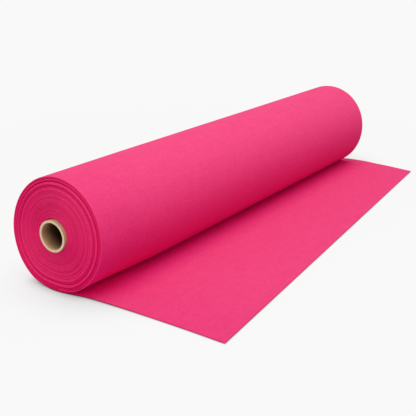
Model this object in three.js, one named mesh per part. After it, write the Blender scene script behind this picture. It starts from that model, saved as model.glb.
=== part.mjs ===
// A roll of matte fabric on a cardboard core, with its last half metre unrolled flat beside it.
// Millimetres, +Z up. The roll's axis runs along Y, its near end faces -Y, and the loose end
// leaves from under the roll towards +X. The origin lies on the ground right under the axis of
// the roll, halfway along it. Every solid rests in the place where the real piece lies.

import * as THREE from 'three';

// ---- driving dimensions -------------------------------------------------------------------

const CLOTH_WIDTH = 1500; // the cloth's width, which is the roll's length along Y
const CLOTH_THICKNESS = 2.4; // one layer of cloth
const PIECE_GAP = 0.3; // clearance between two neighbouring pieces

const ROLL_HALF_WIDTH = 145; // the roll's outline, an ellipse that is a little taller than wide
const ROLL_HALF_HEIGHT = 148;
const FLAT_DEPTH = 10; // how far the roll's own weight has flattened it
const ROLL_HEIGHT = ROLL_HALF_HEIGHT - FLAT_DEPTH; // the outline's centre above the ground
const ROLL_LEAN = 0.02; // how far the outline leans towards +X, per millimetre of height

const CORE_HEIGHT = 143.3; // the tube's axis above the ground
const CORE_OUTER_RADIUS = 40;
const CORE_WALL = 6;
const CORE_OVERHANG = 14; // how far the tube sticks out past the cloth's width at each end
const CORE_CHAMFER = 0.8; // the worn corners of the tube's rims

const ARC_STEPS = 92; // facets around the round part of the roll
const FLAT_STEPS = 8; // facets across its flat spot
const TUBE_STEPS = 72; // facets around the tube

// The end faces lean and turn a little, as rolled cloth creeps sideways.
const NEAR_LEAN = 0.0444; // setback per millimetre of height at the near end
const NEAR_TURN = 0.0158; // how far the near end stands out, per millimetre towards +X
const FAR_LEAN = 0.0131; // how far the far end stands out, per millimetre of height

// The main bands of the end faces. share runs from the tube (0) to the outside (1). near and far
// are how far the cloth stands out past half its width at that end.
const END_BANDS = [
  { share: 0.0, near: 6.0, far: 2.0 },
  { share: 0.1, near: 5.0, far: 3.5 },
  { share: 0.3, near: 4.0, far: 3.5 },
  { share: 0.5, near: 3.0, far: 2.5 },
  { share: 0.66, near: 2.5, far: 1.0 },
  { share: 0.82, near: 2.0, far: 0.5 },
  { share: 0.87, near: -2.0, far: -1.0 },
  { share: 0.9, near: 1.0, far: 1.5 },
  { share: 0.95, near: -0.5, far: 0.0 },
  { share: 1.0, near: 0.0, far: 0.0 },
];

// The side edges of the loose end. x is the distance from the roll's axis, and out is how far
// the edge lies past half the cloth's width there: negative where the sheet is set in.
const NEAR_EDGE = [
  { x: -55, out: 5.8 },
  { x: -30, out: 9.0 },
  { x: 0, out: 10.0 },
  { x: 20, out: 8.6 },
  { x: 45, out: 3.8 },
  { x: 79, out: -1.8 },
  { x: 116, out: -3.3 },
  { x: 188, out: -4.4 },
  { x: 259, out: -3.3 },
  { x: 328, out: -1.1 },
  { x: 394, out: 1.8 },
  { x: 480, out: 7.0 },
];
const FAR_EDGE = [
  { x: -55, out: 4.0 },
  { x: 0, out: 16.0 },
  { x: 60, out: 31.0 },
  { x: 110, out: 36.0 },
  { x: 158, out: 33.0 },
  { x: 228, out: 20.8 },
  { x: 297, out: 6.5 },
  { x: 347.5, out: -5.0 },
];
const EDGE_POINTS = 24; // steps along each curved side edge

// ---- materials ----------------------------------------------------------------------------

const clothMaterial = new THREE.MeshStandardMaterial({
  color: new THREE.Color(0.9, 0.2, 0.42),
  roughness: 0.95,
  metalness: 0,
});
const cardboardMaterial = new THREE.MeshStandardMaterial({
  color: new THREE.Color(0.72, 0.56, 0.42),
  roughness: 0.85,
  metalness: 0,
});

// ---- helpers ------------------------------------------------------------------------------

// A closed ring-shaped mesh: stations around the ring, each a closed loop of as many points.
function closedRing(stations) {
  const around = stations.length;
  const across = stations[0].length;
  const positions = stations.flat().flatMap((p) => [p.x, p.y, p.z]);
  const index = [];
  for (let j = 0; j < around; j += 1) {
    const next = (j + 1) % around;
    for (let k = 0; k < across; k += 1) {
      const after = (k + 1) % across;
      const a = j * across + k;
      const b = next * across + k;
      const c = next * across + after;
      const d = j * across + after;
      index.push(a, c, b, a, d, c);
    }
  }
  const geometry = new THREE.BufferGeometry();
  geometry.setAttribute('position', new THREE.Float32BufferAttribute(positions, 3));
  geometry.setIndex(index);
  geometry.computeVertexNormals();
  return geometry;
}

function namedMesh(name, geometry, material) {
  const mesh = new THREE.Mesh(geometry, material);
  mesh.name = name;
  return mesh;
}

// ---- the wound cloth ----------------------------------------------------------------------

// The roll's outline, counter-clockwise as seen from the near end, starting at the right end of
// the flat spot, which lies on top of the sheet that leaves from under the roll.
function rollOutline() {
  const floor = CLOTH_THICKNESS + PIECE_GAP;
  const from = Math.asin((floor - ROLL_HEIGHT) / ROLL_HALF_HEIGHT);
  const to = Math.PI - from;
  const flatHalf = ROLL_HALF_WIDTH * Math.cos(from);
  const upright = [];
  for (let i = 0; i < ARC_STEPS; i += 1) {
    const angle = THREE.MathUtils.lerp(from, to, i / ARC_STEPS);
    const z = ROLL_HEIGHT + ROLL_HALF_HEIGHT * Math.sin(angle);
    upright.push({ x: ROLL_HALF_WIDTH * Math.cos(angle), z });
  }
  for (let i = 0; i < FLAT_STEPS; i += 1) {
    upright.push({ x: THREE.MathUtils.lerp(-flatHalf, flatHalf, i / FLAT_STEPS), z: floor });
  }
  return upright.map(({ x, z }) => ({ x: x + ROLL_LEAN * (z - ROLL_HEIGHT), z }));
}

// One station of the roll: up the near face from the bore to the outline, along the outside to
// the far end, and back down the far face.
function rollStation(edge) {
  const distance = Math.hypot(edge.x, edge.z - CORE_HEIGHT);
  const bore = CORE_OUTER_RADIUS + PIECE_GAP;
  const place = (share) => {
    const reach = THREE.MathUtils.lerp(bore, distance, share) / distance;
    return { x: edge.x * reach, z: CORE_HEIGHT + (edge.z - CORE_HEIGHT) * reach };
  };
  const near = END_BANDS.map((band) => {
    const { x, z } = place(band.share);
    const setback = NEAR_LEAN * (z - ROLL_HEIGHT) - NEAR_TURN * x;
    return new THREE.Vector3(x, -CLOTH_WIDTH / 2 - band.near + setback, z);
  });
  const far = END_BANDS.map((band) => {
    const { x, z } = place(band.share);
    const stand = FAR_LEAN * (z - ROLL_HEIGHT);
    return new THREE.Vector3(x, CLOTH_WIDTH / 2 + band.far + stand, z);
  });
  return [...near, ...far.reverse()];
}

function makeWoundCloth() {
  return namedMesh('wound_cloth', closedRing(rollOutline().map(rollStation)), clothMaterial);
}

// ---- the loose end ------------------------------------------------------------------------

// The points of one side edge, from under the roll to the free edge, as a smooth line through
// the rows of its table.
function sideEdge(rows, side) {
  const through = rows.map(({ x, out }) => new THREE.Vector2(x, side * (CLOTH_WIDTH / 2 + out)));
  return new THREE.SplineCurve(through).getPoints(EDGE_POINTS);
}

function makeLooseEnd() {
  const outline = [...sideEdge(NEAR_EDGE, -1), ...sideEdge(FAR_EDGE, 1).reverse()];
  const geometry = new THREE.ExtrudeGeometry(new THREE.Shape(outline), {
    depth: CLOTH_THICKNESS,
    bevelEnabled: false,
  });
  return namedMesh('loose_end', geometry, clothMaterial);
}

// ---- the cardboard core -------------------------------------------------------------------

function makeCoreTube() {
  const half = CLOTH_WIDTH / 2 + CORE_OVERHANG;
  const outer = CORE_OUTER_RADIUS;
  const inner = CORE_OUTER_RADIUS - CORE_WALL;
  const c = CORE_CHAMFER;
  const profile = [
    new THREE.Vector2(outer, -half + c),
    new THREE.Vector2(outer, half - c),
    new THREE.Vector2(outer - c, half),
    new THREE.Vector2(inner + c, half),
    new THREE.Vector2(inner, half - c),
    new THREE.Vector2(inner, -half + c),
    new THREE.Vector2(inner + c, -half),
    new THREE.Vector2(outer - c, -half),
    new THREE.Vector2(outer, -half + c),
  ];
  const mesh = namedMesh('core_tube', new THREE.LatheGeometry(profile, TUBE_STEPS), cardboardMaterial);
  mesh.position.z = CORE_HEIGHT;
  return mesh;
}

const roll = new THREE.Group();
roll.add(makeCoreTube(), makeWoundCloth(), makeLooseEnd());

export default roll;
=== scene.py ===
"""A roll of matte cloth on a cardboard tube, with its loose end unrolled flat beside it.

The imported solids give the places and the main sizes. The wound turns, and the last turn with the
loose end, are strips of cloth that Geometry Nodes sweep along a spiral. The tube is a shell of
glued plies. Plain soft studio light stands around them. Lengths are in metres.
"""

import logging
import math
from dataclasses import dataclass, replace
from enum import Enum
from functools import reduce

import bpy
import numpy as np
from mathutils import Matrix, Vector


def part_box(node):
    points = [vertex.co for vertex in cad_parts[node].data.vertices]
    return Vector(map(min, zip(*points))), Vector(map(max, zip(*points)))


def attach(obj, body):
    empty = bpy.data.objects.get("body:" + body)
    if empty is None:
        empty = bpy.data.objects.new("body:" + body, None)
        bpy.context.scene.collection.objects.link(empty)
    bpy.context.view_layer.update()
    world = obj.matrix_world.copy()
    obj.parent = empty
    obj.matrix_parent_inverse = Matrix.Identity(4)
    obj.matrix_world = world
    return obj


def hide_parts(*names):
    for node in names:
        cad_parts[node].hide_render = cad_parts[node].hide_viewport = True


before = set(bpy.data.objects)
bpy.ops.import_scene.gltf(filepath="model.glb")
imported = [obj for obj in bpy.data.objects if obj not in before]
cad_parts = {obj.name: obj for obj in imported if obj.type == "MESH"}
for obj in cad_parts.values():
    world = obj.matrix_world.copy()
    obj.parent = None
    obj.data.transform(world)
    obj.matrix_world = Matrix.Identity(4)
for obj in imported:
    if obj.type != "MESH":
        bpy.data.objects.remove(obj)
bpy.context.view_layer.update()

LOG = logging.getLogger("cloth_roll")
MM = 0.001
CLOTH_WIDTH = 1500.0 * MM
TURNS = 38.0

Socket = bpy.types.NodeSocket
Triple = tuple[float, float, float]
Colour = Triple
Span = tuple[float, float]
Rows = tuple[Span, ...]
WHITE = (1.0, 1.0, 1.0)


class CadNode(Enum):
    """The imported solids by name."""

    TUBE = "core_tube"
    WOUND = "wound_cloth"
    LOOSE = "loose_end"


class Slot(Enum):
    """The material slots by name."""

    CLOTH = "cloth"
    CARDBOARD = "cardboard"


@dataclass(frozen=True)
class TubeShape:
    """The tube's place and sizes, which its shell, its finish and the cloth on it share."""

    axis: Span
    radius: float
    half_length: float
    wall: float = 6.0 * MM
    seam_pitch: float = 110.0 * MM

    @classmethod
    def packed(cls) -> "TubeShape":
        """Reads the (x, z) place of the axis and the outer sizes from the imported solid.

        Returns:
            The tube's shape.
        """
        low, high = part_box(CadNode.TUBE.value)
        axis = ((low.x + high.x) / 2, (low.z + high.z) / 2)
        return cls(axis, (high.x - low.x) / 2, (high.y - low.y) / 2)


# ---------------------------------------------------------------- small helpers


def curve_through(rows: Rows, at: np.ndarray) -> np.ndarray:
    """Reads a smooth curve that passes through the rows and stays level beyond them.

    Args:
        rows: (place, value) pairs, with rising places.
        at: the places to read.

    Returns:
        The curve's values there.
    """
    place, value = np.array(rows, float).T
    slope = np.gradient(value, place)
    inside = np.clip(at, place[0], place[-1])
    left = np.clip(np.searchsorted(place, inside, side="right") - 1, 0, len(place) - 2)
    span = place[left + 1] - place[left]
    u = (inside - place[left]) / span
    start = (2 * u**3 - 3 * u**2 + 1) * value[left] + (u**3 - 2 * u**2 + u) * span * slope[left]
    end = (3 * u**2 - 2 * u**3) * value[left + 1] + (u**3 - u**2) * span * slope[left + 1]
    return start + end


def ease(value: np.ndarray, low: float, high: float) -> np.ndarray:
    """A smooth step from 0 at low to 1 at high."""
    u = np.clip((value - low) / (high - low), 0.0, 1.0)
    return u * u * (3.0 - 2.0 * u)


def blend(share: np.ndarray, first: object, second: object) -> np.ndarray:
    """Goes from the first value to the second as the share goes from 0 to 1."""
    return first + (second - first) * share


def directions(angle: np.ndarray) -> np.ndarray:
    """Unit vectors at some angles, one (cosine, sine) row for each."""
    return np.stack([np.cos(angle), np.sin(angle)], 1)


def upright(flat: np.ndarray) -> np.ndarray:
    """Stands (x, z) rows up in space, as (x, 0, z) rows."""
    return np.insert(flat, 1, 0.0, axis=1)


def right_of(run: np.ndarray) -> np.ndarray:
    """Unit vectors to the right of some steps, which face away from the tube along the spiral."""
    unit = run / np.linalg.norm(run, axis=1)[:, None]
    return np.stack([unit[:, 1], -unit[:, 0]], 1)


def new_object(name: str, data: bpy.types.ID) -> bpy.types.Object:
    """Links a new object to the scene.

    Args:
        name: the object's name.
        data: its mesh, lamp or camera.

    Returns:
        The object.
    """
    made = bpy.data.objects.new(name, data)
    bpy.context.scene.collection.objects.link(made)
    return made


def new_mesh(name: str, points: np.ndarray, edges: list, faces: list) -> bpy.types.Mesh:
    """Makes a mesh.

    Args:
        name: the mesh's name.
        points: one (x, y, z) row a point.
        edges: pairs of points.
        faces: the corners of each face.

    Returns:
        The mesh.
    """
    made = bpy.data.meshes.new(name)
    made.from_pydata(points.tolist(), edges, faces)
    return made


def store(mesh: bpy.types.Mesh, values: dict[str, np.ndarray]) -> None:
    """Gives a mesh's points some named values.

    Args:
        mesh: the mesh.
        values: a number or an (x, y, z) row a point, by name.
    """
    for name, value in values.items():
        kind, key = ("FLOAT", "value") if value.ndim == 1 else ("FLOAT_VECTOR", "vector")
        layer = mesh.attributes.new(name, kind, "POINT")
        layer.data.foreach_set(key, value.astype(np.float32).ravel())


def aim(thing: bpy.types.Object, place: Vector, back: Vector) -> None:
    """Places a camera or a lamp with its back turned to one side and its top upwards."""
    turn = back.to_track_quat("Z", "Y").to_matrix().to_4x4()
    thing.matrix_world = Matrix.Translation(place) @ turn


def declare(piece: bpy.types.Object, node: CadNode) -> None:
    """Hangs a finished piece on the root body, and hides the solid that it stands for.

    Args:
        piece: the finished piece.
        node: the solid that it stands for.
    """
    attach(piece, "root")
    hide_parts(node.value)


class NodeTree:
    """A thin wrapper that adds nodes to one node tree and links them in the same call."""

    def __init__(self, tree: bpy.types.NodeTree) -> None:
        """Wraps the shader or geometry node tree to fill."""
        self.tree = tree

    def socket(self, name: str, kind: str, way: str = "INPUT") -> str:
        """Adds a socket of a kind such as Float to the tree's own interface, by its identifier."""
        kind = f"NodeSocket{kind}"
        return self.tree.interface.new_socket(name=name, in_out=way, socket_type=kind).identifier

    def add(self, kind: str, inputs: dict | None = None, **settings: object) -> bpy.types.Node:
        """Adds a node.

        Args:
            kind: the node's bl_idname.
            inputs: socket name or index to a value, or to a socket that is linked there.
            settings: attributes of the node, set before its sockets.

        Returns:
            The new node.
        """
        node = self.tree.nodes.new(kind)
        for key, value in settings.items():
            setattr(node, key, value)
        for key, value in (inputs or {}).items():
            self.feed(node.inputs[key], value)
        return node

    def feed(self, target: Socket, value: object) -> None:
        """Links a socket to an input, or sets the input's own value.

        Args:
            target: the input socket.
            value: a socket to link from, or a plain value, such as a colour without its alpha.
        """
        if isinstance(value, bpy.types.NodeSocket):
            self.tree.links.new(value, target)
        else:
            target.default_value = (*value, 1.0) if target.type == "RGBA" else value

    def math(self, operation: str, *values: object, clamp: bool = False) -> Socket:
        """Adds a Math node with its inputs in order, and hands over its result."""
        inputs = dict(enumerate(values))
        return self.add("ShaderNodeMath", inputs, operation=operation, use_clamp=clamp).outputs[0]

    def product(self, *factors: object) -> Socket:
        """Multiplies numbers."""
        return reduce(lambda one, other: self.math("MULTIPLY", one, other), factors)

    def minus(self, first: object, second: object) -> Socket:
        """Takes the second number from the first."""
        return self.math("SUBTRACT", first, second)

    def rest(self, value: object) -> Socket:
        """What a value lacks to one."""
        return self.math("SUBTRACT", 1.0, value)

    def vector(self, operation: str, *values: object, output: str = "Vector") -> Socket:
        """Adds a Vector Math node with its inputs in order, and hands over one output."""
        inputs = dict(enumerate(values))
        return self.add("ShaderNodeVectorMath", inputs, operation=operation).outputs[output]

    def scaled(self, vector: Socket, scale: object) -> Socket:
        """Makes a vector longer or shorter."""
        inputs = {0: vector, "Scale": scale}
        return self.add("ShaderNodeVectorMath", inputs, operation="SCALE").outputs["Vector"]

    def combine(self, x: object, y: object, z: object) -> Socket:
        """Joins three numbers into a vector."""
        return self.add("ShaderNodeCombineXYZ", {0: x, 1: y, 2: z}).outputs[0]

    def split(self, vector: Socket) -> list[Socket]:
        """Takes a vector apart into its three numbers."""
        return list(self.add("ShaderNodeSeparateXYZ", {0: vector}).outputs)

    def ease(self, value: Socket, low: object, high: object) -> Socket:
        """Turns a value into a smooth step from 0 at low to 1 at high."""
        limits = {"Value": value, "From Min": low, "From Max": high}
        return self.add("ShaderNodeMapRange", limits, interpolation_type="SMOOTHSTEP").outputs[0]

    def spread(self, value: Socket, low: object, high: object) -> Socket:
        """Maps a value from 0..1 to low..high, and goes on beyond them."""
        limits = {"Value": value, "To Min": low, "To Max": high}
        return self.add("ShaderNodeMapRange", limits, clamp=False).outputs[0]

    def mix(self, factor: object, first: object, second: object, kind: str = "MIX") -> Socket:
        """Mixes two colours.

        Args:
            factor: how much of the second colour there is.
            first: a colour or a socket.
            second: a colour or a socket.
            kind: how they are blended.

        Returns:
            The colour's socket.
        """
        node = self.add("ShaderNodeMix", data_type="RGBA", blend_type=kind)
        values = {"Factor_Float": factor, "A_Color": first, "B_Color": second}
        for target in [target for target in node.inputs if target.identifier in values]:
            self.feed(target, values[target.identifier])
        return next(s for s in node.outputs if s.identifier == "Result_Color")

    def times(self, *colours: object) -> Socket:
        """Multiplies colours."""
        return reduce(lambda one, other: self.mix(1.0, one, other, "MULTIPLY"), colours)

    def colour(self, red: object, green: object, blue: object) -> Socket:
        """Joins three numbers into a colour."""
        return self.add("ShaderNodeCombineColor", {0: red, 1: green, 2: blue}).outputs[0]

    def coordinates(self, kind: str) -> Socket:
        """A shader's coordinates of one kind, such as Object or Normal."""
        return self.add("ShaderNodeTexCoord").outputs[kind]

    def attribute(self, name: str, output: str = "Fac") -> Socket:
        """A value that the shaded piece carries under a name."""
        return self.add("ShaderNodeAttribute", attribute_name=name).outputs[output]

    def openness(self, reach: float, samples: int, **inputs: object) -> Socket:
        """How open a place is to its surroundings, from 0 to 1, within some reach."""
        inputs["Distance"] = reach
        return self.add("ShaderNodeAmbientOcclusion", inputs, samples=samples).outputs["AO"]

    def seen(self) -> Socket:
        """Marks the rays that show the backdrop itself: seen straight, mirrored or let through.

        Returns:
            A mask that is 1 for those rays and 0 for the others.
        """
        rays = self.add("ShaderNodeLightPath").outputs
        kinds = (rays[f"Is {kind} Ray"] for kind in ("Camera", "Glossy", "Transmission"))
        return reduce(lambda one, other: self.math("MAXIMUM", one, other), kinds)


class Shader(NodeTree):
    """A new material's tree, with what most finishes read: the place and how far it faces up."""

    def __init__(self, name: str) -> None:
        """Makes the material.

        Args:
            name: the material's name.
        """
        self.material = bpy.data.materials.new(name)
        self.material.use_nodes = True
        super().__init__(self.material.node_tree)
        self.surface = self.tree.nodes["Principled BSDF"]
        self.body = self.coordinates("Object")
        self.up = self.split(self.coordinates("Normal"))[2]

    def dress(self, values: dict[str, object]) -> None:
        """Feeds the surface's inputs by name."""
        for name, value in values.items():
            self.feed(self.surface.inputs[name], value)

    def bumped(self, height: Socket, strength: float, depth: float) -> Socket:
        """Lets a height of some depth in metres tilt the surface's normal."""
        inputs = {"Strength": strength, "Distance": depth, "Height": height}
        return self.add("ShaderNodeBump", inputs).outputs["Normal"]


# ---------------------------------------------------------------- finishes


@dataclass(frozen=True)
class FibreField:
    """A shared shader group: matted fibres as a mask around one half, and as a height."""

    name: str = "Fibre field"
    clump_detail: float = 3.0
    clump_roughness: float = 0.55
    fibre_detail: float = 4.0
    fibre_roughness: float = 0.7
    fibre_distortion: float = 0.6
    fibres_per_clump: float = 5.0

    def group(self) -> bpy.types.NodeTree:
        """Builds the group, or hands over the one that is there.

        Returns:
            The shader node group.
        """
        known = bpy.data.node_groups.get(self.name)
        if known is not None:
            return known
        made = bpy.data.node_groups.new(self.name, "ShaderNodeTree")
        tree = NodeTree(made)
        for name, kind in (("Place", "Vector"), ("Density", "Float"), ("Strength", "Float")):
            tree.socket(name, kind)
        for name in ("Mask", "Height"):
            tree.socket(name, "Float", "OUTPUT")
        given = tree.add("NodeGroupInput").outputs
        noise = {"Vector": tree.scaled(given["Place"], given["Density"])}
        clumps = {"Scale": 1.0, "Detail": self.clump_detail, "Roughness": self.clump_roughness}
        fibres = {
            "Scale": self.fibres_per_clump,
            "Detail": self.fibre_detail,
            "Roughness": self.fibre_roughness,
            "Distortion": self.fibre_distortion,
        }
        clump = tree.add("ShaderNodeTexNoise", noise | clumps).outputs["Fac"]
        fibre = tree.add("ShaderNodeTexNoise", noise | fibres).outputs["Fac"]
        both = tree.minus(tree.math("ADD", clump, fibre), 1.0)
        mask = tree.math("ADD", tree.product(both, given["Strength"]), 0.5, clamp=True)
        tree.add("NodeGroupOutput", {"Mask": mask, "Height": fibre})
        return made

    def place(self, tree: Shader, place: Socket, density: float, strength: float = 1.0) -> list:
        """Places the group with some clumps per metre, and hands over its mask and its height."""
        inputs = {"Place": place, "Density": density, "Strength": strength}
        return list(tree.add("ShaderNodeGroup", inputs, node_tree=self.group()).outputs)


def shaded(colour: Colour, share: float) -> Colour:
    """Leaves a share of a colour's light."""
    return tuple(part * share for part in colour)


@dataclass(frozen=True)
class ClothFinish:
    """Dyed needled cloth: matte, faintly mottled, soft sheen; painted light on top and shade below.

    A span runs from where its effect starts to where it is full. Those whose names end in up are
    heights of the surface's normal: -1 faces down and 1 faces up.
    """

    dye: Colour = (0.810, 0.003, 0.164)
    # painted light: a paler colour where the cloth faces up and is open to the sky, a little less
    # at the near end
    top_light: Colour = (0.945, 0.074, 0.238)
    top_light_up: Span = (-0.75, 0.95)
    near_top_light: float = 0.84
    near_fade: Span = (-0.78, -0.42)
    open_reach: float = 110.0 * MM
    open_share: Span = (0.10, 0.80)
    open_samples: int = 6
    top_up: Span = (0.65, 0.97)
    # painted bounced light: where the cloth is shut in, the roll turns a redder pink and upward
    # faces a lighter one
    crevice_shade_tint: Colour = (1.22, 0.62, 1.27)
    sheet_crevice_shade_tint: Colour = (1.23, 1.15, 1.60)
    # painted light and shade: sides a little lighter, undersides darker
    flank_up: Span = (-0.5, 0.25)
    flank_light_tint: Colour = (1.022, 1.0, 1.0)
    under_shade_tint: Colour = (0.92, 0.92, 1.0)
    # painted shade: darker and redder where the cloth faces down into the nip, except at the near
    # end
    nip_up: Span = (-0.32, -0.88)
    nip_shade_tint: Colour = (0.80, 0.10, 0.92)
    # painted shade: the cloth laid on the floor is a little darker than the roll's top
    laid_turns: Span = (TURNS - 0.15, TURNS - 0.02)
    laid_shade_tint: Colour = (0.95, 0.845, 0.94)
    cut_span: Span = (1.2 * MM, 0.24 * MM)
    end_cut: Span = (0.9945, 0.9985)
    cut_tint: Colour = (1.02, 0.80, 0.85)
    blotch_density: float = 26.0
    blotch_swing: float = 0.07
    grain_density: float = 210.0
    grain_swing: float = 0.22
    streak_density: float = 60.0
    streak_stretch: float = 0.16
    streak_swings: Span = (0.06, 0.16)
    tone_powers: Triple = (1.0, 3.0, 2.0)
    bump_height: float = 0.35 * MM
    bump_strength: float = 0.35
    roughness: float = 0.92
    specular: float = 0.05
    sheen: float = 0.04
    sheen_roughness: float = 0.45

    def material(self) -> bpy.types.Material:
        """Builds the cloth: its dye, painted light on top, and painted tints where cloth lights
        cloth.

        Returns:
            The material, which reads the values that the strip carries.
        """
        tree = Shader("needled cloth")
        place = tree.attribute(ClothStrip.PLACE, "Vector")
        _, across, turn = tree.split(place)
        depth = tree.minus(CLOTH_WIDTH / 2, tree.math("ABSOLUTE", across))
        end_cut = tree.ease(tree.attribute(ClothStrip.LOOSE), *self.end_cut)
        cut = tree.math("MAXIMUM", tree.ease(depth, *self.cut_span), end_cut)
        grain, height = FibreField().place(tree, tree.body, self.grain_density)
        tone = self.tone(tree, place, grain, cut)
        open_sky = tree.ease(tree.openness(self.open_reach, self.open_samples), *self.open_share)
        inward = tree.ease(tree.split(tree.body)[1], *self.near_fade)
        # painted light: upward faces that are open to the sky take the paler colour
        high = tree.product(tree.ease(tree.up, *self.top_light_up), open_sky)
        pale = tree.product(high, tree.spread(inward, self.near_top_light, 1.0))
        top = tree.ease(tree.up, *self.top_up)
        # painted shade on the undersides, painted light on the sides
        side = tree.mix(tree.ease(tree.up, *self.flank_up), self.under_shade_tint, self.flank_light_tint)
        # painted shade in the nip
        nip = tree.product(tree.ease(tree.up, *self.nip_up), inward)
        # painted bounced light where the cloth is shut in
        shut = tree.mix(top, self.crevice_shade_tint, self.sheet_crevice_shade_tint)
        # painted shade on the laid cloth
        laid = tree.mix(tree.ease(turn, *self.laid_turns), WHITE, self.laid_shade_tint)
        colours = (
            tree.mix(pale, self.dye, self.top_light),
            tree.mix(top, side, WHITE),
            tree.mix(nip, WHITE, self.nip_shade_tint),
            tree.mix(open_sky, shut, WHITE),
            tree.mix(cut, laid, self.cut_tint),
            # the tone darkens green and blue faster than red, so painted shade on the cut edges
            # turns deeper red
            tree.colour(*(tree.math("POWER", tone, power) for power in self.tone_powers)),
        )
        values = {
            "Base Color": tree.times(*colours),
            "Normal": tree.bumped(height, self.bump_strength, self.bump_height),
            "Roughness": self.roughness,
            # painted shade: sheen and specular fade where the cloth is shut in
            "Specular IOR Level": tree.product(open_sky, self.specular),
            "Sheen Weight": tree.product(open_sky, self.sheen),
            "Sheen Roughness": self.sheen_roughness,
        }
        tree.dress(values)
        return tree.material

    def tone(self, tree: Shader, place: Socket, grain: Socket, cut: Socket) -> Socket:
        """Makes the cloth's small changes of tone, with the cut edges' painted light and shade.

        Args:
            tree: the material's tree.
            place: the place on the flat cloth.
            grain: the mask of the fine grain.
            cut: the mask of the cut edges.

        Returns:
            A tone around one.
        """
        pulled = tree.vector("MULTIPLY", place, (1.0, self.streak_stretch, 1.0))
        blotch = FibreField().place(tree, tree.body, self.blotch_density)[0]
        streak = FibreField().place(tree, pulled, self.streak_density)[0]
        streak_swing = tree.spread(cut, *self.streak_swings)
        swings = ((blotch, self.blotch_swing), (grain, self.grain_swing), (streak, streak_swing))
        tones = (tree.math("MULTIPLY_ADD", tree.minus(m, 0.5), swing, 1.0) for m, swing in swings)
        return tree.product(*tones, tree.spread(cut, 1.0, tree.attribute(ClothStrip.TONE_AND_SHADE)))


@dataclass(frozen=True)
class CardboardFinish:
    """Plain grey-brown tube board: fibrous, with paler cut rims, a spiral seam and painted shade.

    Its spans are read like those of the cloth.
    """

    tube: TubeShape
    wall: Colour = (0.56, 0.40, 0.22)
    # painted shade: the outer wall is darker where it faces down
    wall_up: Span = (-0.8, 0.3)
    wall_under_shade: float = 0.66
    rim: Colour = (0.95, 0.74, 0.52)
    rim_span: Span = (1.6 * MM, 0.6 * MM)
    bore: Colour = (0.98, 0.58, 0.31)
    bore_span: Span = (1.2 * MM, 0.4 * MM)
    # painted shade: the bore darkens away from its mouth and where its wall does not face up
    bore_up: Span = (-0.15, 0.60)
    bore_side_shade: float = 0.66
    deep_shade: Colour = (0.050, 0.019, 0.006)
    side_deep_shade: Colour = (0.105, 0.040, 0.012)
    shade_depths: Span = (42.0 * MM, 52.0 * MM)
    shade_power: float = 0.6
    ply_depth: float = 1.3 * MM
    ply_span: Span = (0.28, 0.05)
    ply_dark: float = 0.22
    seam_span: Span = (0.9 * MM, 0.27 * MM)
    seam_dark: float = 0.30
    fleck_density: float = 120.0
    fleck_strength: float = 1.1
    fleck_tones: Span = (0.90, 1.10)
    bump_height: float = 0.3 * MM
    bump_strength: float = 0.3
    roughness: float = 0.85
    specular: float = 0.12

    def material(self) -> bpy.types.Material:
        """Builds the cardboard's material.

        Returns:
            The material, which reads Object coordinates.
        """
        tree = Shader("tube board")
        x, y, z = tree.split(tree.body)
        over = tree.minus(z, self.tube.axis[1])
        radius = tree.vector("LENGTH", tree.combine(x, 0.0, over), output="Value")
        off_bore = tree.minus(radius, self.tube.radius - self.tube.wall)
        depth = tree.minus(self.tube.half_length, tree.math("ABSOLUTE", y))
        on_rim = tree.ease(depth, *self.rim_span)
        # painted shade under the outer wall
        under = shaded(self.wall, self.wall_under_shade)
        outside = tree.mix(tree.ease(tree.up, *self.wall_up), under, self.wall)
        walls = tree.mix(tree.ease(off_bore, *self.bore_span), outside, self.lining(tree, depth))
        plies = self.off_line(tree, tree.math("DIVIDE", off_bore, self.ply_depth))
        ply_line = tree.product(tree.ease(plies, *self.ply_span), on_rim, self.ply_dark)
        angle = tree.math("DIVIDE", tree.math("ARCTAN2", over, x), math.tau)
        wound = tree.math("ADD", tree.math("DIVIDE", y, self.tube.seam_pitch), angle)
        off_seam = tree.product(self.off_line(tree, wound), self.tube.seam_pitch)
        seam = tree.product(tree.ease(off_seam, *self.seam_span), tree.rest(on_rim), self.seam_dark)
        dark = tree.math("ADD", seam, ply_line)
        fleck, height = FibreField().place(tree, tree.body, self.fleck_density, self.fleck_strength)
        tone = tree.minus(tree.spread(fleck, *self.fleck_tones), dark)
        base = tree.mix(on_rim, walls, self.rim)
        relief = tree.minus(height, dark)
        values = {
            "Base Color": tree.times(base, tree.colour(tone, tone, tone)),
            "Normal": tree.bumped(relief, self.bump_strength, self.bump_height),
            "Roughness": self.roughness,
            "Specular IOR Level": self.specular,
        }
        tree.dress(values)
        return tree.material

    def lining(self, tree: Shader, depth: Socket) -> Socket:
        """Colours the bore: painted shade away from the mouth and where the wall does not face up.

        Args:
            tree: the material's tree.
            depth: how far inside the rim the place is.

        Returns:
            The colour.
        """
        lit = tree.ease(tree.up, *self.bore_up)
        shade_depth = tree.spread(lit, *self.shade_depths)
        deep_shade = tree.math("POWER", tree.ease(depth, 0.0, shade_depth), self.shade_power)
        mouth = tree.mix(lit, shaded(self.bore, self.bore_side_shade), self.bore)
        return tree.mix(deep_shade, mouth, tree.mix(lit, self.side_deep_shade, self.deep_shade))

    def off_line(self, tree: Shader, count: Socket) -> Socket:
        """How far a running count is from the nearest half."""
        return tree.math("ABSOLUTE", tree.minus(tree.math("FRACT", count), 0.5))


# ---------------------------------------------------------------- the roll's section


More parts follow.
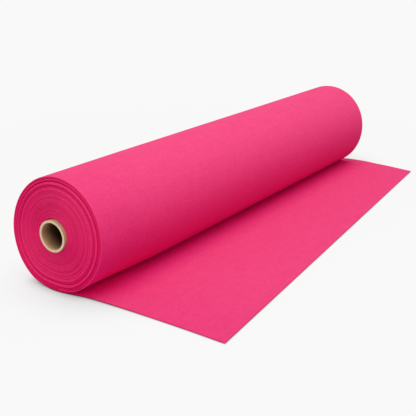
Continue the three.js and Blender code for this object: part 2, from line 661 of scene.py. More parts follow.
@dataclass(frozen=True)
class RollSection:
    """The roll seen along its tube: where each turn of the cloth runs.

    Turns are counted from the tube outwards, and run counter-clockwise as seen from the near end.
    The last one ends straight under the tube, where the cloth leaves along the floor. Angles run
    from +X towards +Z. The rows hold degrees and millimetres: dent_rows say how far the near end
    is drawn in, and sag_rows how far the whole roll stands out of the plain oval.
    """

    tube: TubeShape
    centre: Span
    half_width: float
    half_height: float
    lean: float = 0.02
    cloth: float = 2.3 * MM
    clearance: float = 0.3 * MM
    slack: float = 0.12 * MM
    tight_turns: float = 34.25
    tight_share: float = 0.880
    share_right: float = 0.006
    share_down: float = 0.0125
    left_softness: float = 6.5 * MM
    right_softness: float = 3.4 * MM
    side_blend: Span = (-0.3, 0.3)
    inner_softness: float = 14.0 * MM
    dent: float = 0.0
    dent_rows: Rows = (
        (-180.0, -0.4), (-155.0, 0.1), (-140.0, 0.8), (-125.0, 2.3), (-90.0, 3.8), (-75.0, 8.5),
        (-60.0, 9.2), (-47.0, 7.8), (-31.0, 4.6), (-14.0, 1.6), (5.0, 0.0), (90.0, 0.0),
        (115.0, 0.8), (140.0, 1.2), (165.0, 0.4), (180.0, -0.4),
    )
    sag_rows: Rows = (
        (-180.0, 0.0), (-130.0, 0.0), (-110.0, 0.2), (-90.0, 1.8), (-75.0, 4.2), (-60.0, 4.6),
        (-47.0, 3.3), (-31.0, 1.2), (-14.0, 0.1), (5.0, 0.0), (90.0, 0.0), (180.0, 0.0),
    )
    nip: Span = (0.05, 0.20)
    least_down: float = 1e-3
    most_gap: float = 50.0
    heading_reach: float = 0.002
    samples_per_turn: int = 1440

    @classmethod
    def packed(cls, tube: TubeShape, flat_depth: float = 10.0 * MM) -> "RollSection":
        """Reads the section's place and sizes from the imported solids.

        Args:
            tube: the tube that the cloth is wound on.
            flat_depth: how far the roll's own weight has flattened it at the floor.

        Returns:
            The section.
        """
        low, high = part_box(CadNode.WOUND.value)
        half_height = (high.z + flat_depth) / 2
        centre = ((low.x + high.x) / 2, half_height - flat_depth)
        return cls(tube, centre, (high.x - low.x) / 2, half_height)

    def dented(self, amount: float) -> "RollSection":
        """The same section at the roll's near end, drawn in at its lower right."""
        return replace(self, dent=amount)

    def angle(self, turn: np.ndarray) -> np.ndarray:
        """The angle round the tube at a turn, which is straight down at the last one."""
        return (turn - TURNS) * math.tau - math.pi / 2

    def inset(self, angle: np.ndarray) -> np.ndarray:
        """Measures how far the dented and sagging section lies inside the plain oval.

        Args:
            angle: angles round the tube.

        Returns:
            The distances, which are below zero where the section stands out.
        """
        degrees = np.degrees(np.mod(angle + math.pi, math.tau) - math.pi)
        dent = self.dent * curve_through(self.dent_rows, degrees)
        return (dent - curve_through(self.sag_rows, degrees)) * MM

    def outline(self, angle: np.ndarray, softness: np.ndarray) -> np.ndarray:
        """Measures from the tube's axis to the roll's outside, a leaning oval cut off by the floor.

        Args:
            angle: angles round the tube.
            softness: how round the corners at the floor are.

        Returns:
            The distances, with the flat spot on the floor eased into the round.
        """
        across, up = np.subtract(self.tube.axis, self.centre)
        start_x, start_z = (across - self.lean * up) / self.half_width, up / self.half_height
        step_x = (np.cos(angle) - self.lean * np.sin(angle)) / self.half_width
        step_z = np.sin(angle) / self.half_height
        square = step_x**2 + step_z**2
        along = (start_x * step_x + start_z * step_z) / square
        inside = (1.0 - start_x**2 - start_z**2) / square
        round_part = -along + np.sqrt(along**2 + inside) - self.inset(angle)
        floor_part = self.tube.axis[1] / np.maximum(-np.sin(angle), self.least_down)
        gap = np.clip((floor_part - round_part) / softness, -self.most_gap, self.most_gap)
        return round_part - softness * np.log1p(np.exp(-gap))

    def tight(self, angle: np.ndarray) -> np.ndarray:
        """How far out the tight turns reach, as a share."""
        return self.tight_share + self.share_right * np.cos(angle) - self.share_down * np.sin(angle)

    def share(self, turn: np.ndarray) -> np.ndarray:
        """How far out a turn lies, from 0 at the tube to 1 at the outside.

        Args:
            turn: turns from the tube.

        Returns:
            The shares: many tight turns first, then a few looser ones.
        """
        tight = self.tight(self.angle(turn))
        inner = tight * turn / self.tight_turns
        outer = tight + (1.0 - tight) * (turn - self.tight_turns) / (TURNS - self.tight_turns)
        return np.where(turn < self.tight_turns, inner, outer)

    def shortfall(self, angle: np.ndarray) -> np.ndarray:
        """Measures how far the last turn would lie inside the outline, past the nip.

        Args:
            angle: angles round the tube.

        Returns:
            The shortfalls, as shares of the way from the tube to the outside.
        """
        done = np.mod(angle + math.pi / 2, math.tau) / math.tau
        per_turn = (1.0 - self.tight(angle)) / (TURNS - self.tight_turns)
        return (1.0 - done) * per_turn * ease(done, *self.nip)

    def spiral(self, turn: np.ndarray) -> np.ndarray:
        """Places the cloth's middle line at some turns.

        Args:
            turn: turns from the tube.

        Returns:
            One (x, z) row for each.
        """
        angle, share = self.angle(turn), self.share(turn)
        side = ease(np.cos(angle), *self.side_blend)
        corner = blend(side, self.left_softness, self.right_softness)
        first = self.tube.radius + self.clearance + self.cloth / 2
        last = self.outline(angle, corner + self.inner_softness * (1.0 - share)) - self.cloth / 2
        reach = first + (last - first) * share * (1.0 + self.shortfall(angle))
        return self.tube.axis + reach[:, None] * directions(angle)

    def outward(self, turn: np.ndarray) -> np.ndarray:
        """The side that faces away from the tube at some turns, as unit vectors."""
        reach = self.heading_reach
        return right_of(self.spiral(turn + reach) - self.spiral(turn - reach))

    def room(self, turn: np.ndarray) -> np.ndarray:
        """How thick the cloth may be at some turns, to fill the room between its neighbours.

        Args:
            turn: turns from the tube.

        Returns:
            The thicknesses, as shares of the cloth's own.
        """
        line = self.spiral(turn)
        inside = np.sum((line - self.spiral(turn - 1.0)) * self.outward(turn), axis=1)
        off_axis = np.linalg.norm(line - self.tube.axis, axis=1)
        to_tube = off_axis - self.tube.radius + self.cloth / 2
        return (np.minimum(inside, to_tube) - self.slack) / self.cloth

    def walk(self, start: float, end: float, step: float) -> tuple[np.ndarray, np.ndarray, float]:
        """Steps evenly along the spiral.

        Args:
            start: the first turn.
            end: the last turn.
            step: the wanted distance between stations.

        Returns:
            The turn at each station, the distance walked to it, and the whole distance.
        """
        fine = np.linspace(start, end, int((end - start) * self.samples_per_turn) + 1)
        steps = np.linalg.norm(np.diff(self.spiral(fine), axis=0), axis=1)
        walked = np.concatenate([[0.0], np.cumsum(steps)])
        even = np.linspace(0.0, walked[-1], int(round(walked[-1] / step)) + 1)
        return np.interp(even, walked, fine), even, float(walked[-1])


# ---------------------------------------------------------------- strips of cloth


@dataclass
class StripPath:
    """Stations along a strip of cloth, with what the sweep needs at each.

    The spine and the tuck, which moves the near edge, are (x, z) rows. The other arrays hold a
    number a station: the turn, the distance along the strip, how far its near and far edges stand
    out, the share of the loose end that is passed, how much the face waves, the cut edge's tone
    with its painted light and shade, and the thickness as a share of the cloth's own.
    """

    spine: np.ndarray
    turn: np.ndarray
    along: np.ndarray
    near_out: np.ndarray
    far_out: np.ndarray
    loose: np.ndarray
    lift: np.ndarray
    tuck: np.ndarray
    tone: np.ndarray
    thickness: np.ndarray
    cloth: float

    def swell(self, soft_ends: int = 2, least: float = 0.35) -> np.ndarray:
        """Makes the strip thinner at its two rounded ends.

        Args:
            soft_ends: how many stations at each end are thinner.
            least: how much of the thickness is left at the very end.

        Returns:
            The thickness at each station, as a share of the cloth's own.
        """
        place = np.arange(len(self.spine))
        inner = np.minimum(place, place[::-1]) / soft_ends
        return self.thickness * blend(np.sqrt(np.clip(inner, 0.0, 1.0)), least, 1.0)

    def mesh(self, name: str) -> bpy.types.Mesh:
        """Makes the path a chain of edges whose points carry the stations' values.

        Args:
            name: the mesh's name.

        Returns:
            The mesh.
        """
        out = right_of(np.gradient(self.spine, axis=0))
        middle = self.spine - out * (self.thickness - 1.0)[:, None] * self.cloth / 2
        points = upright(middle)
        made = new_mesh(name, points, [(i, i + 1) for i in range(len(points) - 1)], [])
        values = {
            "spine": points,
            "outward": upright(out),
            "tuck": upright(self.tuck),
            "turn": self.turn,
            "along": self.along,
            "near_out": self.near_out,
            "far_out": self.far_out,
            ClothStrip.LOOSE: self.loose,
            "lift": self.lift,
            "swell": self.swell(),
            ClothStrip.TONE_AND_SHADE: self.tone,
        }
        store(made, values)
        return made


@dataclass(frozen=True)
class StripProfile:
    """The cloth cut straight across: its width and thickness, with rounded cut edges.

    Some stations across are spread evenly, and some only over the reach of the near end's dent.
    """

    thickness: float
    width: float = CLOTH_WIDTH
    edge_depth: float = 0.9 * MM
    edge_steps: int = 4
    support: float = 2.0 * MM
    stations: int = 1
    near_stations: int = 0
    near_reach: float = 320.0 * MM

    def outline(self) -> np.ndarray:
        """Goes once round the cut.

        Returns:
            One (across, height) row a point, counter-clockwise.
        """
        half, thick = self.width / 2, self.thickness / 2
        round_off = directions(np.linspace(-math.pi / 2, math.pi / 2, self.edge_steps + 1))
        far_edge = (half - self.edge_depth, 0.0) + round_off * (self.edge_depth, thick)
        inner = half - self.edge_depth - self.support
        across = np.linspace(inner, -inner, self.stations + 1)
        near = np.linspace(0.0, self.near_reach, self.near_stations + 1)[1:] - half
        across = np.sort(np.concatenate([across, near]))[::-1]
        top = np.stack([across, np.full_like(across, thick)], 1)
        return np.concatenate([far_edge, top, -far_edge, top[::-1] * (1.0, -1.0)])

    def mesh(self, name: str) -> bpy.types.Mesh:
        """Makes the cut a closed chain of edges whose points carry their own place on it.

        Args:
            name: the mesh's name.

        Returns:
            The mesh.
        """
        across, height = self.outline()[::-1].T
        count = len(across)
        points = np.stack([-across, height, np.zeros(count)], 1)
        made = new_mesh(name, points, [(i, (i + 1) % count) for i in range(count)], [])
        store(made, {"across": across, "height": height})
        return made


@dataclass(frozen=True)
class ClothStrip:
    """Geometry Nodes that sweep a cloth's cut along a path and let its edges and face wander."""

    wave_height: float = 0.0
    wave_size: float = 90.0 * MM
    wave_stretch: float = 0.35
    slant: float = 0.0
    seed: float = 4.0

    PLACE = "cloth_place"
    TONE_AND_SHADE = "cut_tone_and_shade"
    LOOSE = "loose"
    SCRATCH = (
        "spine", "outward", "tuck", "turn", "along", "near_out", "far_out", "lift", "swell",
        "across", "height",
    )

    def tree(self, inputs: dict[str, tuple[str, object]]) -> tuple[bpy.types.NodeTree, dict]:
        """Builds the node tree.

        Args:
            inputs: the named inputs, each with its type and value.

        Returns:
            The tree, and the identifier of each named input.
        """
        made = bpy.data.node_groups.new("Cloth along a path", "GeometryNodeTree")
        tree = NodeTree(made)
        tree.socket("Geometry", "Geometry")
        names = {name: tree.socket(name, kind) for name, (kind, _) in inputs.items()}
        tree.socket("Geometry", "Geometry", "OUTPUT")
        given = tree.add("NodeGroupInput").outputs
        across = self.read(tree, "across")
        share = tree.math("ADD", tree.math("DIVIDE", across, given["Width"]), 0.5)
        setback = tree.product(given["Slant"], self.read(tree, self.LOOSE), share)
        flat_along = tree.minus(self.read(tree, "along"), setback)
        place = tree.combine(flat_along, across, self.read(tree, "turn"))
        position = self.position(tree, given, share, setback, place)
        path = tree.add("GeometryNodeMeshToCurve", {"Mesh": given["Geometry"]}).outputs[0]
        held = tree.add("GeometryNodeObjectInfo", {"Object": given["Profile"]})
        loop = tree.add("GeometryNodeMeshToCurve", {"Mesh": held.outputs["Geometry"]}).outputs[0]
        sweep = {"Curve": path, "Profile Curve": loop, "Fill Caps": True}
        swept = tree.add("GeometryNodeCurveToMesh", sweep).outputs[0]
        moves = {"Geometry": swept, "Position": position}
        moved = tree.add("GeometryNodeSetPosition", moves).outputs[0]
        stored = tree.add(
            "GeometryNodeStoreNamedAttribute",
            {"Geometry": moved, "Name": self.PLACE},
            data_type="FLOAT_VECTOR",
            domain="POINT",
        )
        tree.feed(next(s for s in stored.inputs if s.name == "Value" and s.enabled), place)
        smooth = tree.add("GeometryNodeSetShadeSmooth", {"Geometry": stored.outputs[0]})
        real = tree.add("GeometryNodeRealizeInstances", {"Geometry": smooth.outputs[0]})
        dressing = {"Geometry": real.outputs[0], "Material": given["Cloth"]}
        dressed = tree.add("GeometryNodeSetMaterial", dressing)
        tree.add("NodeGroupOutput", {"Geometry": dressed.outputs[0]})
        return made, names

    def read(self, tree: NodeTree, name: str, kind: str = "FLOAT") -> Socket:
        """Reads an attribute of some data type by its name."""
        node = tree.add("GeometryNodeInputNamedAttribute", {"Name": name}, data_type=kind)
        return next(s for s in node.outputs if s.name == "Attribute" and s.enabled)

    def position(
        self,
        tree: NodeTree,
        given: bpy.types.bpy_prop_collection,
        share: Socket,
        setback: Socket,
        place: Socket,
    ) -> Socket:
        """Places every point of the swept cloth.

        Args:
            tree: the geometry tree.
            given: the group's inputs.
            share: 0 at the near edge and 1 at the far one.
            setback: how far the slanted end holds the point back.
            place: the point's place on the flat cloth.

        Returns:
            The position's socket.
        """
        size = given["Wave size"]
        stretched = tree.vector("MULTIPLY", place, tree.combine(1.0, given["Wave stretch"], 0.0))
        shrunk = tree.vector("DIVIDE", stretched, tree.combine(size, size, 1.0))
        seeded = tree.vector("ADD", shrunk, tree.combine(0.0, 0.0, given["Seed"]))
        noise = tree.add("ShaderNodeTexNoise", {"Vector": seeded, "Scale": 1.0, "Detail": 1.0})
        wave = tree.product(noise.outputs["Fac"], given["Wave height"], self.read(tree, "lift"))
        depth = tree.product(self.read(tree, "height"), self.read(tree, "swell"))
        outward = self.read(tree, "outward", "FLOAT_VECTOR")
        off = tree.scaled(outward, tree.math("ADD", depth, wave))
        near_out = tree.product(self.read(tree, "near_out"), -1.0)
        side = tree.spread(share, near_out, self.read(tree, "far_out"))
        across = tree.math("ADD", self.read(tree, "across"), side)
        edge = tree.combine(tree.product(setback, -1.0), across, 0.0)
        reach = tree.math("DIVIDE", given["Tuck reach"], given["Width"])
        held = tree.rest(tree.ease(share, 0.0, reach))
        tucked = tree.scaled(self.read(tree, "tuck", "FLOAT_VECTOR"), held)
        line = tree.vector("ADD", self.read(tree, "spine", "FLOAT_VECTOR"), tucked)
        return tree.vector("ADD", tree.vector("ADD", line, off), edge)

    def bake(
        self, name: str, path: StripPath, profile: StripProfile, cloth: bpy.types.Material
    ) -> bpy.types.Object:
        """Sweeps one strip and makes it a plain mesh.

        Args:
            name: the piece's name.
            path: the strip's stations.
            profile: the cloth's cut.
            cloth: the material.

        Returns:
            The piece.
        """
        chain, loop = path.mesh(f"{name} path"), profile.mesh(f"{name} cut")
        made, cut = new_object(name, chain), new_object(f"{name} cut", loop)
        inputs = {
            "Profile": ("Object", cut),
            "Width": ("Float", profile.width),
            "Slant": ("Float", self.slant),
            "Wave height": ("Float", self.wave_height),
            "Wave size": ("Float", self.wave_size),
            "Wave stretch": ("Float", self.wave_stretch),
            "Seed": ("Float", self.seed),
            "Tuck reach": ("Float", profile.near_reach),
            "Cloth": ("Material", cloth),
        }
        tree, names = self.tree(inputs)
        modifier = made.modifiers.new("sweep", "NODES")
        modifier.node_group = tree
        for key, (_, value) in inputs.items():
            modifier[names[key]] = value
        graph = bpy.context.evaluated_depsgraph_get()
        graph.update()
        baked = bpy.data.meshes.new_from_object(made.evaluated_get(graph))
        made.modifiers.clear()
        made.data = baked
        baked.name = name
        bpy.data.node_groups.remove(tree)
        bpy.data.objects.remove(cut)
        for helper in (chain, loop):
            bpy.data.meshes.remove(helper)
        for layer in [a.name for a in baked.attributes if a.name in self.SCRATCH]:
            baked.attributes.remove(baked.attributes[layer])
        return made


@dataclass(frozen=True)
class EndRelief:
    """How far each turn's edge stands out at the two end faces, and the painted shade on its cut.

    The rows go by turns from the tube. The bands and the creep are in millimetres.
    """

    near_bands: Rows = (
        (0.0, 6.0), (3.0, 5.5), (8.0, 4.6), (13.0, 4.0), (16.5, 4.2), (18.3, 3.8), (19.5, 3.0),
        (20.6, 3.6), (22.8, 3.2), (24.1, 2.2), (25.2, 2.9), (27.3, 3.3), (29.0, 2.4), (30.0, 1.6),
        (30.8, -0.8), (31.7, 2.0), (33.4, 2.4), (34.7, -2.4), (35.5, 1.0), (36.2, -0.8),
        (37.0, 0.5), (38.0, 0.5),
    )
    far_bands: Rows = (
        (0.0, 2.0), (3.0, 3.5), (12.0, 3.5), (20.0, 2.5), (26.0, 1.0), (31.0, 0.5),
        (34.4, -1.5), (36.0, 1.5), (38.0, 0.0),
    )
    # painted shade on the turns that lie back, painted highlights on those that stand out
    tones: Rows = (
        (0.0, 1.0), (15.0, 1.0), (17.1, 1.05), (19.5, 0.94), (21.0, 1.0), (24.1, 0.94),
        (27.0, 1.07), (29.0, 1.0), (30.0, 0.97), (30.8, 0.82), (31.8, 1.05), (33.5, 1.08),
        (34.7, 0.84), (35.5, 1.04), (36.2, 0.88), (37.0, 0.92), (38.0, 0.92),
    )
    tone_swing: float = 0.11
    near_lean: float = 0.0444
    near_turn: float = 0.0158
    far_lean: float = 0.0131
    creep: float = 0.8
    inner_creep: float = 0.45
    calm_turns: Span = (4.0, 24.0)
    seed: int = 11

    def wander(self, turn: np.ndarray, seed: int) -> np.ndarray:
        """The small sideways creep of the cloth from turn to turn, calmer near the tube.

        Args:
            turn: turns from the tube.
            seed: the seed of the creep.

        Returns:
            The creep at each.
        """
        pull = np.random.default_rng(seed).uniform(-1.0, 1.0, int(TURNS) + 3)
        rows = tuple(enumerate((self.creep * pull).tolist()))
        calm = blend(ease(turn, *self.calm_turns), self.inner_creep, 1.0)
        return calm * curve_through(rows, turn)

    def tone(self, turn: np.ndarray) -> np.ndarray:
        """Each turn's cut tone, around one: painted shade and highlight, with a random swing."""
        steps = self.wander(turn, self.seed + 2) / self.creep
        return curve_through(self.tones, turn) * (1.0 + self.tone_swing * steps)

    def stand_out(
        self, section: RollSection, turn: np.ndarray, line: np.ndarray
    ) -> tuple[np.ndarray, np.ndarray]:
        """Measures how far the two side edges stand out past half the cloth's width.

        Args:
            section: the roll's section.
            turn: turns from the tube.
            line: the (x, z) place of each.

        Returns:
            The near and the far edge's distances.
        """
        across, up = (line - section.centre).T
        near = curve_through(self.near_bands, turn) + self.wander(turn, self.seed)
        far = curve_through(self.far_bands, turn) + self.wander(turn, self.seed + 1)
        near_out = near * MM - self.near_lean * up + self.near_turn * across
        return near_out, far * MM + self.far_lean * up


@dataclass(frozen=True)
class WoundCloth:
    """All the turns round the tube but the outermost one."""

    section: RollSection
    relief: EndRelief = EndRelief()
    name: str = "wound_turns"
    last_turn: float = TURNS - 1.0
    step: float = 7.0 * MM
    dent: float = 1.08
    near_stations: int = 4

    def build(self, cloth: bpy.types.Material, tube: bpy.types.Object) -> bpy.types.Object:
        """Args:
            cloth: the material.
            tube: not used.

        Returns:
            The piece.
        """
        section, near_section = self.section, self.section.dented(self.dent)
        turn, walked, length = section.walk(0.0, self.last_turn, self.step)
        spine = section.spiral(turn)
        near_out, far_out = self.relief.stand_out(section, turn, spine)
        path = StripPath(
            spine=spine,
            turn=turn,
            along=walked,
            near_out=near_out,
            far_out=far_out,
            loose=np.zeros_like(turn),
            lift=np.zeros_like(turn),
            tuck=near_section.spiral(turn) - spine,
            tone=self.relief.tone(turn),
            thickness=np.minimum(section.room(turn), near_section.room(turn)),
            cloth=section.cloth,
        )
        profile = StripProfile(thickness=section.cloth, near_stations=self.near_stations)
        piece = ClothStrip().bake(self.name, path, profile, cloth)
        declare(piece, CadNode.WOUND)
        LOG.info("%s: %.2f m of cloth in %.0f turns", self.name, length, self.last_turn)
        return piece


@dataclass(frozen=True)
class OuterTurn:
    """The outermost turn and the loose end that leaves it along the floor.

    The edge rows are (millimetres from the roll's axis, millimetres past half the cloth's width).
    """

    section: RollSection
    relief: EndRelief = EndRelief()
    name: str = "outer_turn"
    first_turn: float = TURNS - 1.0
    step: float = 6.0 * MM
    stations: int = 58
    slant: float = 132.5 * MM
    near_edge: Rows = (
        (-55.0, 6.0), (-30.0, 9.0), (0.0, 10.3), (20.0, 9.0), (45.0, 4.4), (79.0, -0.6),
        (116.0, -2.1), (188.0, -3.2), (259.0, -2.1), (328.0, 0.1), (394.0, 3.0), (480.0, 8.2),
    )
    far_edge: Rows = (
        (-55.0, -1.8), (0.0, 14.0), (60.0, 31.0), (110.0, 36.0), (158.0, 33.9), (194.0, 26.0),
        (228.0, 21.0), (263.0, 14.1), (297.0, 6.3), (347.5, -5.0),
    )
    joins: Span = (TURNS - 0.07, TURNS - 0.01)
    # painted light and shade on the cut edge: a highlight on the roll, shade where it lies on the
    # floor
    rim_highlight_tone: float = 1.12
    laid_shade_tone: float = 0.42
    free_shade_tone: float = 0.80
    beside: Span = (150.0 * MM, 280.0 * MM)
    end_past: float = 1.9 * MM
    wave_height: float = 0.5 * MM
    wave_turns: Span = (TURNS - 0.10, TURNS - 0.05)

    def build(self, cloth: bpy.types.Material, below: bpy.types.Object) -> bpy.types.Object:
        """Args:
            cloth: the material.
            below: not used.

        Returns:
            The piece.
        """
        section, near_section = self.section, self.section.dented(1.0)
        turn, walked, wound_length = section.walk(self.first_turn, TURNS, self.step)
        spine = section.spiral(turn)
        tuck = near_section.spiral(turn) - spine
        tuck *= 1.0 - ease(turn, self.joins[0], TURNS)[:, None]
        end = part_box(CadNode.LOOSE.value)[1].x + self.end_past
        count = int(round((end - spine[-1, 0]) / self.step))
        floor_x = np.linspace(spine[-1, 0], end, count + 1)[1:]
        floor_line = np.stack([floor_x, np.full(count, spine[-1, 1])], 1)
        spine = np.concatenate([spine, floor_line])
        tuck = np.concatenate([tuck, np.zeros_like(floor_line)])
        turn = np.concatenate([turn, np.full(count, TURNS)])
        walked = np.concatenate([walked, wound_length + floor_x - floor_x[0] + self.step])
        loose = np.clip(spine[:, 0] / end, 0.0, 1.0) * (turn >= TURNS)
        near_out, far_out = self.edges(spine, turn, loose)
        room = np.minimum(section.room(turn), near_section.room(turn))
        path = StripPath(
            spine=spine,
            turn=turn,
            along=walked,
            near_out=near_out,
            far_out=far_out,
            loose=loose,
            lift=self.lift(turn),
            tuck=tuck,
            tone=self.tone(spine, turn),
            thickness=blend(1.0 - ease(turn, self.joins[1], TURNS), 1.0, room),
            cloth=section.cloth,
        )
        profile = StripProfile(thickness=section.cloth, stations=self.stations)
        strip = ClothStrip(wave_height=self.wave_height, slant=self.slant)
        piece = strip.bake(self.name, path, profile, cloth)
        declare(piece, CadNode.LOOSE)
        return piece

    def lift(self, turn: np.ndarray) -> np.ndarray:
        """Turns the face's waves outwards on the roll and upwards on the floor.

        Args:
            turn: turns from the tube.

        Returns:
            The waves' share of their height: 1 on the roll, 0 at the bend and -1 on the floor.
        """
        on_floor = ease(turn, *self.wave_turns)
        side = np.where(turn < sum(self.wave_turns) / 2, 1.0, -1.0)
        return side * np.abs(1.0 - 2.0 * on_floor)

    def tone(self, spine: np.ndarray, turn: np.ndarray) -> np.ndarray:
        """Cut tone: a painted highlight on the roll, painted shade on the floor, deepest beside it.
        """
        laid = blend(ease(spine[:, 0], *self.beside), self.laid_shade_tone, self.free_shade_tone)
        return blend(ease(turn, *self.joins), self.rim_highlight_tone, laid)

    def edges(
        self, spine: np.ndarray, turn: np.ndarray, loose: np.ndarray
    ) -> tuple[np.ndarray, np.ndarray]:
        """Measures how far the strip's two side edges stand out past half its width.

        Args:
            spine: the strip's middle line.
            turn: turns from the tube.
            loose: 0 on the roll, rising to 1 at the free end.

        Returns:
            The near and the far edge's distances.
        """
        joined = ease(turn, *self.joins)
        near_face, far_face = self.relief.stand_out(self.section, turn, spine)
        near_x, far_x = spine[:, 0], spine[:, 0] - self.slant * loose
        near_sheet = curve_through(self.near_edge, near_x / MM) * MM
        far_sheet = curve_through(self.far_edge, far_x / MM) * MM
        return blend(joined, near_face, near_sheet), blend(joined, far_face, far_sheet)


# ---------------------------------------------------------------- the tube


@dataclass(frozen=True)
class CoreTube:
    """The cardboard tube: a shell of glued plies with rounded rims and a faint spiral ridge."""

    shape: TubeShape
    name: str = "cardboard_tube"
    rim_round: float = 0.8 * MM
    rim_steps: int = 4
    plies: int = 6
    ply_groove: float = 0.15 * MM
    groove_share: float = 0.2
    around: int = 120
    lengthwise: int = 110
    ridge_height: float = 0.12 * MM
    ridge_power: int = 4

    def section(self) -> np.ndarray:
        """Goes once round the wall's section.

        Returns:
            One (radius, y, on_wall) row a point, where on_wall is 1 along the walls.
        """
        radius, half = self.shape.radius - self.ridge_height, self.shape.half_length
        soft, inner = self.rim_round, radius - self.shape.wall
        quarter = np.linspace(0.0, math.pi / 2, self.rim_steps + 1)
        level = np.linspace(-half + 3 * soft, half - 3 * soft, self.lengthwise)
        outer, back = [(radius, y, 1.0) for y in level], [(inner, y, 1.0) for y in level[::-1]]
        out_turn, in_turn = radius - soft, inner + soft
        edge = half - soft
        first = [(out_turn + soft * math.cos(a), edge + soft * math.sin(a), 0.0) for a in quarter]
        last = [(in_turn - soft * math.sin(a), edge + soft * math.cos(a), 0.0) for a in quarter]
        far_rim = first + self.grooves(out_turn, in_turn, half) + last
        near_rim = [(r, -y, w) for r, y, w in far_rim[::-1]]
        return np.array(outer + far_rim + back + near_rim)

    def grooves(self, start: float, end: float, half: float) -> list[Triple]:
        """Goes across a rim, with a fine groove between plies.

        Args:
            start: the radius where the rim starts.
            end: the radius where it ends.
            half: half the tube's length.

        Returns:
            One (radius, y, 0) row a point.
        """
        width = (start - end) / self.plies
        lip = self.groove_share * width
        groove = ((lip, half), (0.0, half - self.ply_groove), (-lip, half))
        middles = [start - ply * width for ply in range(1, self.plies)]
        return [(middle + off, y, 0.0) for middle in middles for off, y in groove]

    def build(self, board: bpy.types.Material) -> bpy.types.Object:
        """Args:
            board: the material.

        Returns:
            The piece.
        """
        angle = (np.arange(self.around) / self.around * math.tau)[:, None]
        radius, y, on_wall = self.section().T
        phase = y / self.shape.seam_pitch + angle / math.tau
        ridge = on_wall * self.ridge_height * np.cos(math.tau * phase) ** self.ridge_power
        reach = radius + ridge
        across, over = reach * np.cos(angle), reach * np.sin(angle)
        x, z = self.shape.axis
        places = np.stack([x + across, np.broadcast_to(y, reach.shape), z + over], axis=2)
        piece = new_object(self.name, self.shell(places))
        piece.data.materials.append(board)
        declare(piece, CadNode.TUBE)
        size = (2 * self.shape.radius / MM, 2 * self.shape.half_length / MM)
        LOG.info("%s: %.0f mm across, %.0f mm long", self.name, *size)
        return piece

    def shell(self, points: np.ndarray) -> bpy.types.Mesh:
        """Joins rings of points into a closed smooth shell.

        Args:
            points: one (x, y, z) place by ring and by point of the section.

        Returns:
            The mesh.
        """
        rings, count = points.shape[:2]
        i, j = np.meshgrid(np.arange(rings), np.arange(count), indexing="ij")
        i_next, j_next = (i + 1) % rings, (j + 1) % count
        corners = [i * count + j, i * count + j_next, i_next * count + j_next, i_next * count + j]
        faces = np.stack(corners, axis=2).reshape(-1, 4)
        made = new_mesh(self.name, points.reshape(-1, 3), [], faces.tolist())
        made.shade_smooth()
        return made


# ---------------------------------------------------------------- the studio


@dataclass(frozen=True)
class View:
    """The camera: where it looks, from which side and how far."""

    lens: float = 67.36
    sensor: float = 36.0
    azimuth: float = 33.486
    elevation: float = 18.529
    distance: float = 2.1583
    target: Triple = (0.1294, -0.2899, 0.1062)
    clip_end: float = 500.0

    def build(self) -> None:
        """Places the camera and makes it the scene's own."""
        around, above = math.radians(self.azimuth), math.radians(self.elevation)
        level = math.cos(above)
        back = Vector((math.sin(around) * level, -math.cos(around) * level, math.sin(above)))
        data = bpy.data.cameras.new("camera")
        data.lens, data.sensor_width, data.clip_end = self.lens, self.sensor, self.clip_end
        made = new_object("camera", data)
        aim(made, Vector(self.target) + back * self.distance, back)
        bpy.context.scene.camera = made


@dataclass(frozen=True)
class SoftLamp:
    """A wide round lamp."""

    name: str
    place: Triple
    size: float
    power: float
    lights: Triple = (0.1, 0.0, 0.1)

    def build(self) -> None:
        """Places the lamp and turns it to what it lights."""
        data = bpy.data.lights.new(self.name, "AREA")
        data.shape, data.size, data.energy = "DISK", self.size, self.power
        place = Vector(self.place)
        aim(new_object(self.name, data), place, place - Vector(self.lights))


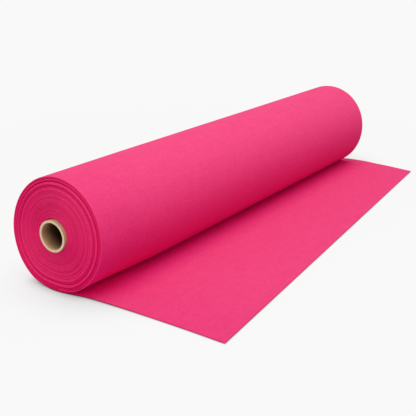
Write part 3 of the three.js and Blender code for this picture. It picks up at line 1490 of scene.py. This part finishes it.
@dataclass(frozen=True)
class FloorFinish:
    """A pale floor: its own even tone, part of its real shadow, and painted shadow near the pieces.
    """

    tone: float = 0.947
    albedo: float = 0.80
    own_shadow: float = 0.14
    shadow_fade: Span = (1.0, 2.2)
    near_glow: float = 0.03
    # painted shadow: darker where the pieces close in on the floor, more on the sheet's side, and a
    # tight line close to their edges
    contact_reach: float = 0.20
    contact_shadow_depth: float = 0.57
    contact_lean: Span = (-0.22, -0.40)
    contact_power: float = 2.2
    contact_most: float = 0.62
    sheet_side: Span = (-0.02, 0.18)
    sheet_side_shadow_gain: float = 2.9
    crease_reach: float = 0.035
    crease_power: float = 1.1
    crease_fade: Span = (0.03, 0.12)
    crease_shadow_depths: Span = (0.52, 0.052)
    open_up: Span = (0.5, 1.0)
    samples: int = 12

    def material(self) -> bpy.types.Material:
        """Builds the floor's material.

        Returns:
            The material.
        """
        tree = Shader("studio floor")
        base = (self.albedo,) * 3
        tree.dress({"Base Color": base, "Roughness": 1.0, "Specular IOR Level": 0.0})
        x, y, _ = tree.split(tree.body)
        away = tree.vector("LENGTH", tree.body, output="Value")
        near = tree.rest(tree.ease(away, *self.shadow_fade))
        gain = tree.spread(tree.ease(x, *self.sheet_side), 1.0, self.sheet_side_shadow_gain)
        lean_x, lean_y = self.contact_lean
        leaning = tree.combine(lean_x, tree.product(y, lean_y), 1.0)
        contact_shadow = self.closed_in(tree, self.contact_reach, self.contact_power, leaning)
        contact_shadow = tree.product(contact_shadow, gain, self.contact_shadow_depth)
        contact_shadow = tree.math("MINIMUM", contact_shadow, self.contact_most)
        crease_shadow_depth = tree.spread(tree.ease(x, *self.crease_fade), *self.crease_shadow_depths)
        straight_up = tree.combine(0.0, 0.0, 1.0)
        crease_shadow = self.closed_in(tree, self.crease_reach, self.crease_power, straight_up)
        crease_shadow = tree.product(crease_shadow, crease_shadow_depth)
        # painted shadow taken off the floor's glow
        lit = tree.minus(tree.minus(tree.spread(near, 1.0, 1.0 + self.near_glow), contact_shadow), crease_shadow)
        level = tree.product(lit, self.tone)
        glow = tree.add("ShaderNodeEmission", {"Color": tree.colour(level, level, level)})
        own = tree.product(tree.seen(), tree.rest(tree.product(near, self.own_shadow)))
        both = {0: own, 1: tree.surface.outputs["BSDF"], 2: glow.outputs["Emission"]}
        mixed = tree.add("ShaderNodeMixShader", both).outputs[0]
        tree.feed(tree.tree.nodes["Material Output"].inputs["Surface"], mixed)
        return tree.material

    def closed_in(self, tree: Shader, reach: float, power: float, leaning: Socket) -> Socket:
        """Measures how much the pieces close in on the floor, which sets its painted shadow.

        Args:
            tree: the floor's tree.
            reach: how far off a piece still counts.
            power: how quickly it falls off away from the piece.
            leaning: the way that the floor is taken to face.

        Returns:
            How shut in the floor is, from 0 in the open to 1.
        """
        facing = tree.vector("NORMALIZE", leaning)
        sky = tree.openness(reach, self.samples, Normal=facing)
        in_the_open = tree.spread(tree.split(facing)[2], *self.open_up)
        shut = tree.math("DIVIDE", tree.minus(in_the_open, sky), in_the_open, clamp=True)
        return tree.math("POWER", shut, power)


@dataclass(frozen=True)
class Studio:
    """A pale floor, even light from all round, a wide lamp above and a weaker one in front."""

    floor_half: float = 60.0
    floor_drop: float = 0.2 * MM
    floor: FloorFinish = FloorFinish()
    ambient: float = 0.496
    lamps: tuple[SoftLamp, ...] = (
        SoftLamp("top lamp", (0.8, 0.0, 5.5), 4.6, 146.0),
        SoftLamp("front lamp", (1.8, -5.6, 3.6), 3.6, 52.0),
    )

    def build(self) -> None:
        """Makes the world, the lamps and the floor."""
        self.world()
        for lamp in self.lamps:
            lamp.build()
        half, z = self.floor_half, -self.floor_drop
        corners = np.array([(-half, -half, z), (half, -half, z), (half, half, z), (-half, half, z)])
        floor = new_object("floor", new_mesh("floor", corners, [], [(0, 1, 2, 3)]))
        floor.data.materials.append(self.floor.material())

    def world(self) -> None:
        """White light from all round, and the floor's own tone where it is looked at."""
        world = bpy.data.worlds.new("studio")
        bpy.context.scene.world = world
        world.use_nodes = True
        tree = NodeTree(world.node_tree)
        back = world.node_tree.nodes["Background"]
        tree.feed(back.inputs["Color"], WHITE)
        tree.feed(back.inputs["Strength"], tree.spread(tree.seen(), self.ambient, self.floor.tone))


# ---------------------------------------------------------------- the whole


def main() -> None:
    """Builds the studio and the pieces in order."""
    logging.basicConfig(level=logging.INFO, format="%(message)s")
    bpy.context.scene.view_settings.view_transform = "Standard"
    View().build()
    Studio().build()
    shape = TubeShape.packed()
    section = RollSection.packed(shape)
    cloth = ClothFinish().material()
    tube = CoreTube(shape).build(CardboardFinish(shape).material())
    wound = WoundCloth(section).build(cloth, tube)
    OuterTurn(section).build(cloth, wound)


if __name__ == "__main__":
    main()
